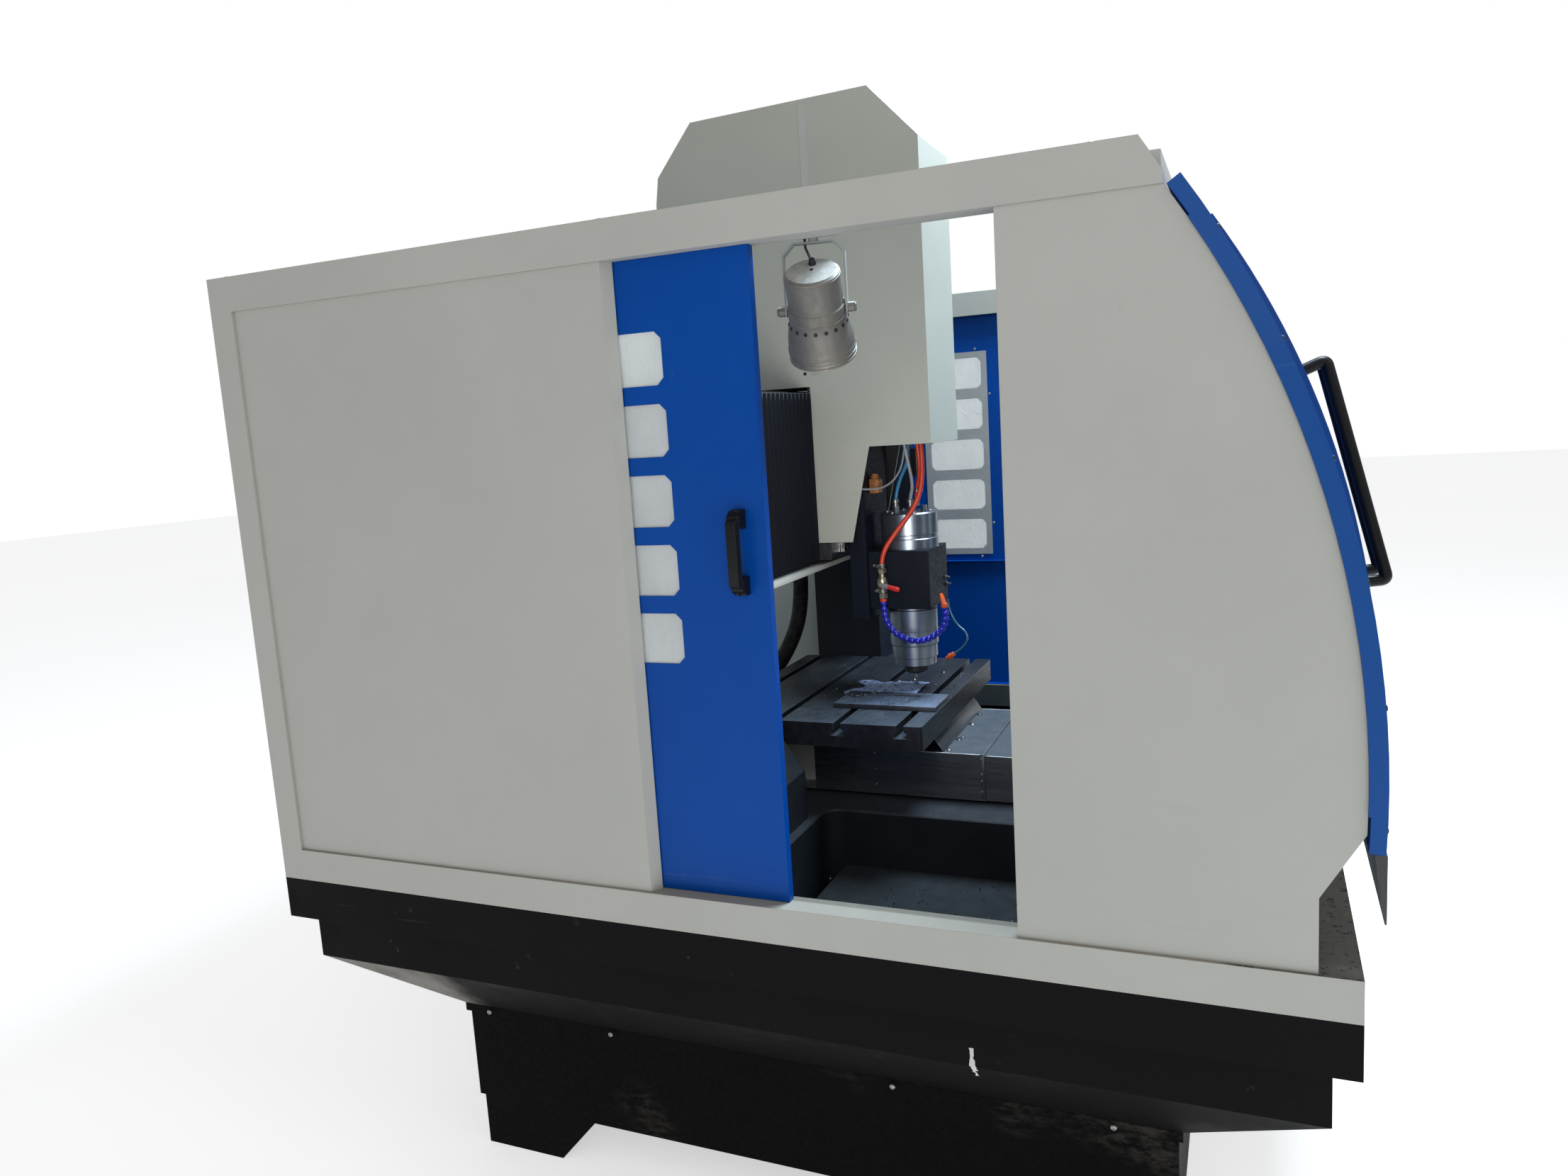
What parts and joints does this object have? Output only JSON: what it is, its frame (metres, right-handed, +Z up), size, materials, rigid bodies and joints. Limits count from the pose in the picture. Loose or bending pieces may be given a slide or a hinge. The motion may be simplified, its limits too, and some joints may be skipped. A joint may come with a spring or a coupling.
{
  "type": "milling machine",
  "caption": "Enclosed gantry milling machine: sliding side doors, curved front doors, moving T-slot table, vertical spindle head on a bellows-covered crossbeam, coolant lines and work lamp.",
  "frame": {"origin": "on the floor, at the centre of the four foundation bolts", "axes": "+Z up, -Y towards the curved front doors, +X to the right as seen from the front"},
  "size_m": [1.848, 2.3166, 2.44],
  "materials": {
    "cast_black": "rough black paint, worn",
    "tank_black": "semi-gloss black paint, dusty",
    "bed_paint": "dark gray paint, dusty",
    "beam_paint": "dark gray paint",
    "ground_steel": "ground",
    "dark_steel": "oiled, dark",
    "motor_black": "satin black",
    "cover_steel": "brushed, stained",
    "frame_beige": "fine textured paint",
    "panel_beige": "fine textured paint",
    "door_blue": "gloss blue paint",
    "window_clear": "frosted sheet",
    "window_tinted": "clear sheet",
    "handle_black": "fine grain",
    "tube_black": "gloss black",
    "rail_black": "worn dark paint",
    "cover_olive": "fine textured paint",
    "bellows_black": "pleated coated fabric",
    "conduit_black": "corrugated",
    "spindle_steel": "turned",
    "clamp_paint": "dark gray paint",
    "brass": "dull, nickel patches",
    "lever_red": "dipped grip",
    "hose_blue": "ball segments",
    "nozzle_orange": "moulded",
    "tube_blue": "clear tint",
    "hose_red": "smooth",
    "line_gray": "smooth",
    "carbide": "dark coated",
    "table_iron": "machined, oiled, with chips",
    "plate_iron": "machined, dark",
    "lamp_metal": "spun, dull",
    "lamp_bracket": "pale gray",
    "lamp_cable": "smooth"
  },
  "bodies": {
    "machine": {"base_casting": "cast_black", "lower_tank": "tank_black", "chip_tray": "tank_black", "bed_casting": "bed_paint", "gantry_columns": "beam_paint", "crossbeam": "beam_paint", "linear_rails": "ground_steel", "screw_bearings": "dark_steel", "axis_motors": "motor_black", "way_cover_front": "cover_steel", "enclosure_frame": "frame_beige", "side_panels": "panel_beige", "back_wall": "panel_beige", "front_wing_panels": "door_blue", "front_guide_rail": "rail_black", "lamp_bracket": "lamp_bracket", "lamp_cable": "lamp_cable", "cable_conduit": "conduit_black", "x_bellows": "bellows_black"},
    "head": {"x_carriage": "dark_steel", "x_blocks": "ground_steel", "head_cover": "cover_olive", "z_rails": "ground_steel", "z_motor": "motor_black", "red_hoses": "hose_red", "spindle_lines": "line_gray"},
    "spindle_head": {"z_slide": "clamp_paint", "z_blocks": "ground_steel", "spindle_clamp": "clamp_paint", "spindle_body": "spindle_steel", "coolant_valve": "brass", "coolant_hose": "hose_blue", "nozzles": "nozzle_orange", "mist_tube": "tube_blue"},
    "spindle": {"spindle_shaft": "spindle_steel", "end_mill": "carbide"},
    "coolant_lever": {"valve_lever": "lever_red"},
    "x_drive": {"x_screw": "ground_steel"},
    "y_drive": {"y_screw": "ground_steel"},
    "z_drive": {"z_screw": "ground_steel"},
    "table": {"table": "table_iron", "table_saddle": "bed_paint", "y_blocks": "ground_steel", "way_cover_main": "cover_steel", "rear_way_cover": "frame_beige", "work_plate": "plate_iron"},
    "middle_way_cover": {"way_cover_middle": "cover_steel"},
    "left_door": {"left_door": "door_blue", "left_door_windows": "window_clear", "left_door_handle": "handle_black"},
    "right_door": {"right_door": "door_blue", "right_door_windows": "window_clear", "right_door_handle": "handle_black"},
    "left_front_door": {"left_front_door": "door_blue", "left_front_window": "window_tinted", "left_front_handle": "tube_black"},
    "right_front_door": {"right_front_door": "door_blue", "right_front_window": "window_tinted", "right_front_handle": "tube_black"},
    "lamp": {"lamp_can": "lamp_metal"}
  },
  "joints": [
    {"name": "table_slide", "type": "slide", "parent": "machine", "child": "table", "axis": [0, 1, 0], "range_m": [-0.422, 0.078]},
    {"name": "middle_way_cover_slide", "type": "slide", "parent": "machine", "child": "middle_way_cover", "axis": [0, 1, 0], "range_m": [-0.211, 0.039]},
    {"name": "y_screw_spin", "type": "hinge", "parent": "machine", "child": "y_drive", "pos_m": [0, 0, 0.835], "axis": [0, 1, 0], "range_deg": [-9600, 1800]},
    {"name": "head_slide", "type": "slide", "parent": "machine", "child": "head", "axis": [1, 0, 0], "range_m": [-0.3, 0.3], "deforming": ["x_bellows"]},
    {"name": "x_screw_spin", "type": "hinge", "parent": "machine", "child": "x_drive", "pos_m": [0, 0.101, 1.545], "axis": [1, 0, 0], "range_deg": [-6840, 6840]},
    {"name": "spindle_slide", "type": "slide", "parent": "head", "child": "spindle_head", "axis": [0, 0, 1], "range_m": [0, 0.25], "deforming": ["red_hoses", "spindle_lines"]},
    {"name": "z_screw_spin", "type": "hinge", "parent": "head", "child": "z_drive", "pos_m": [0, 0.02, 1.7], "axis": [0, 0, 1], "range_deg": [-60, 5760]},
    {"name": "spindle_spin", "type": "hinge", "parent": "spindle_head", "child": "spindle", "pos_m": [0, -0.127, 1.05], "axis": [0, 0, 1], "continuous": true},
    {"name": "coolant_lever_turn", "type": "hinge", "parent": "spindle_head", "child": "coolant_lever", "pos_m": [-0.125, -0.084, 1.282], "axis": [1, 0, 0], "range_deg": [0, 74]},
    {"name": "left_door_slide", "type": "slide", "parent": "machine", "child": "left_door", "axis": [0, 1, 0], "range_m": [-0.446, 0.19]},
    {"name": "right_door_slide", "type": "slide", "parent": "machine", "child": "right_door", "axis": [0, 1, 0], "range_m": [-0.266, 0.37]},
    {"name": "left_front_door_slide", "type": "slide", "parent": "machine", "child": "left_front_door", "axis": [1, 0, 0], "range_m": [-0.4, 0]},
    {"name": "right_front_door_slide", "type": "slide", "parent": "machine", "child": "right_front_door", "axis": [1, 0, 0], "range_m": [0, 0.4]},
    {"name": "lamp_tilt", "type": "hinge", "parent": "machine", "child": "lamp", "pos_m": [-0.76, -0.2, 1.884], "axis": [-0.2164, 0.9763, 0], "range_deg": [-40, 35], "deforming": ["lamp_cable"]}
  ],
  "couplings": [
    {"joint": "middle_way_cover_slide", "follows": "table_slide", "ratio": 0.5},
    {"joint": "y_screw_spin", "follows": "table_slide", "rad_per_m": 392.7},
    {"joint": "x_screw_spin", "follows": "head_slide", "rad_per_m": 392.7},
    {"joint": "z_screw_spin", "follows": "spindle_slide", "rad_per_m": 392.7}
  ]
}
